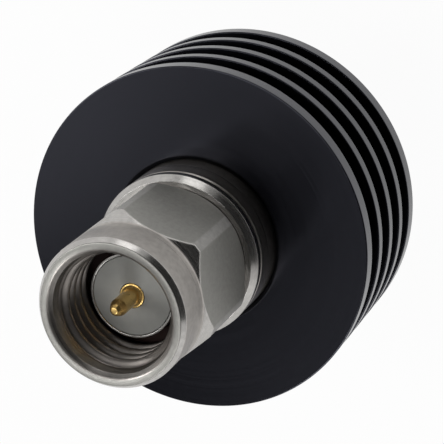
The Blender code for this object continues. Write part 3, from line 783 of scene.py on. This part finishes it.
def pale_floor():
    """A pale floor that is seen, also in the metal, as nearly plain white and still takes a shadow."""
    material = bpy.data.materials.new("floor_white")
    material.use_nodes = True
    tree = material.node_tree
    tree.nodes.clear()
    out = tree.nodes.new("ShaderNodeOutputMaterial")
    matt = tree.nodes.new("ShaderNodeBsdfDiffuse")
    matt.inputs["Color"].default_value = (FLOOR_GREY, FLOOR_GREY, FLOOR_GREY, 1)
    glow = tree.nodes.new("ShaderNodeEmission")
    glow.inputs["Color"].default_value = (1, 1, 1, 1)
    glow.inputs["Strength"].default_value = 1.0
    path = tree.nodes.new("ShaderNodeLightPath")
    seen = path.outputs["Is Camera Ray"]
    for kind in ("Is Glossy Ray", "Is Transmission Ray"):
        either = tree.nodes.new("ShaderNodeMath")
        either.operation = "MAXIMUM"
        link(tree, seen, either.inputs[0])
        link(tree, path.outputs[kind], either.inputs[1])
        seen = either.outputs[0]
    amount = tree.nodes.new("ShaderNodeMath")
    amount.operation = "MULTIPLY"
    amount.inputs[1].default_value = FLOOR_GLOW
    mix = tree.nodes.new("ShaderNodeMixShader")
    link(tree, seen, amount.inputs[0])
    link(tree, amount.outputs[0], mix.inputs["Fac"])
    link(tree, matt.outputs[0], mix.inputs[1])
    link(tree, glow.outputs[0], mix.inputs[2])
    link(tree, mix.outputs[0], out.inputs["Surface"])
    return material


def staged(name, mesh, material):
    """Add something that belongs to the studio and not to the part."""
    item = bpy.data.objects.new(name, mesh)
    bpy.context.scene.collection.objects.link(item)
    mesh.materials.append(material)
    return item


floor_mesh = bpy.data.meshes.new("floor")
floor_shape = bmesh.new()
bmesh.ops.create_grid(floor_shape, x_segments=1, y_segments=1, size=FLOOR_HALF)
floor_shape.to_mesh(floor_mesh)
floor_shape.free()
staged("floor", floor_mesh, pale_floor())

CARD_DISTANCE = 0.33
CARD_FOOT = 0.002
CARD_HEIGHT = 0.29
CARD_FROM = 212
CARD_TO = 296
CARD_PARTS = 24


def dark_card():
    """A matt black card bent round the camera's side, out of the camera's sight."""
    verts = []
    faces = []
    for index in range(CARD_PARTS + 1):
        angle = math.radians(CARD_FROM + (CARD_TO - CARD_FROM) * index / CARD_PARTS)
        x = CARD_DISTANCE * math.cos(angle)
        y = CARD_DISTANCE * math.sin(angle)
        verts += [(x, y, CARD_FOOT), (x, y, CARD_HEIGHT)]
        if index:
            at = index * 2
            faces.append((at - 2, at - 1, at + 1, at))
    mesh = bpy.data.meshes.new("dark_card")
    mesh.from_pydata(verts, [], faces)
    material, _, shader = new_material("card_black")
    shader.inputs["Base Color"].default_value = (0.01, 0.01, 0.01, 1)
    shader.inputs["Roughness"].default_value = 0.9
    card = staged("dark_card", mesh, material)
    card.visible_camera = False


dark_card()

SKY_EDGE = 1.0
SKY_TOP = 0.03
SKY_FADE = 0.38


def pale_room():
    """A world that is white at the level of the floor and greyer overhead."""
    world = bpy.data.worlds.new("studio")
    bpy.context.scene.world = world
    world.use_nodes = True
    tree = world.node_tree
    coords = tree.nodes.new("ShaderNodeTexCoord")
    parts = tree.nodes.new("ShaderNodeSeparateXYZ")
    fade = tree.nodes.new("ShaderNodeMapRange")
    fade.interpolation_type = "SMOOTHSTEP"
    fade.inputs["From Min"].default_value = 0.0
    fade.inputs["From Max"].default_value = SKY_FADE
    fade.inputs["To Min"].default_value = SKY_EDGE
    fade.inputs["To Max"].default_value = SKY_TOP
    background = tree.nodes["Background"]
    background.inputs["Color"].default_value = (1, 1, 1, 1)
    link(tree, coords.outputs["Generated"], parts.inputs[0])
    link(tree, parts.outputs["Z"], fade.inputs["Value"])
    link(tree, fade.outputs["Result"], background.inputs["Strength"])


pale_room()

# Lamps that face the part, in metres: name, azimuth, elevation, size and strength

AIM = Vector((0.0, 0.0, 0.020))
LAMP_DISTANCE = 0.30
LAMP_SIZE = 0.10
LAMPS = (
    ("right", 36, 48, LAMP_SIZE, 0.21),
    ("left", 144, 48, LAMP_SIZE, 0.24),
    ("left_side", 180, 48, LAMP_SIZE, 0.023),
    ("right_high", 0, 64, LAMP_SIZE, 0.05),
    ("back", 70, 55, LAMP_SIZE, 0.04),
    ("left_high", 124, 62, LAMP_SIZE, 0.014),
    ("top", 40, 81, LAMP_SIZE, 0.15),
    ("near", 322, 12, 0.12, 0.065),
    ("right_low", 353, 10, LAMP_SIZE, 0.008),
    ("left_low", 185, 10, LAMP_SIZE, 0.008),
)


def lamp(name, azimuth, elevation, size, power):
    """A square soft lamp that faces the part."""
    data = bpy.data.lights.new(name, "AREA")
    data.shape = "SQUARE"
    data.size = size
    data.energy = power
    item = bpy.data.objects.new(name, data)
    a = math.radians(azimuth)
    e = math.radians(elevation)
    way = Vector((math.cos(e) * math.cos(a), math.cos(e) * math.sin(a), math.sin(e)))
    item.location = AIM + way * LAMP_DISTANCE
    item.rotation_mode = "QUATERNION"
    item.rotation_quaternion = (-way).to_track_quat("-Z", "Y")
    item.visible_camera = False
    bpy.context.scene.collection.objects.link(item)


for given in LAMPS:
    lamp(*given)

# Camera, at the photograph's angle: 62 degrees above the floor and turned so the nut points down and left

LENS = 150.94
CAMERA_AT = (0.003969, -0.049327, 0.107303)
LOOK = (-0.03959, 0.46904, -0.88229)
ROLL = 131.248

camera_data = bpy.data.cameras.new("camera")
camera_data.lens = LENS
camera_data.sensor_width = 36.0
camera_data.clip_start = 0.01
camera_data.clip_end = 20.0
camera = bpy.data.objects.new("camera", camera_data)
bpy.context.scene.collection.objects.link(camera)
forward = Vector(LOOK).normalized()
level_right = forward.cross(Vector((0, 0, 1))).normalized()
level_up = level_right.cross(forward)
turn_up = math.radians(ROLL)
up = level_up * math.cos(turn_up) + level_right * math.sin(turn_up)
right = forward.cross(up)
camera.matrix_world = Matrix(
    (
        (right.x, up.x, -forward.x, CAMERA_AT[0]),
        (right.y, up.y, -forward.y, CAMERA_AT[1]),
        (right.z, up.z, -forward.z, CAMERA_AT[2]),
        (0, 0, 0, 1),
    )
)
bpy.context.scene.camera = camera
bpy.context.scene.view_settings.view_transform = "Standard"
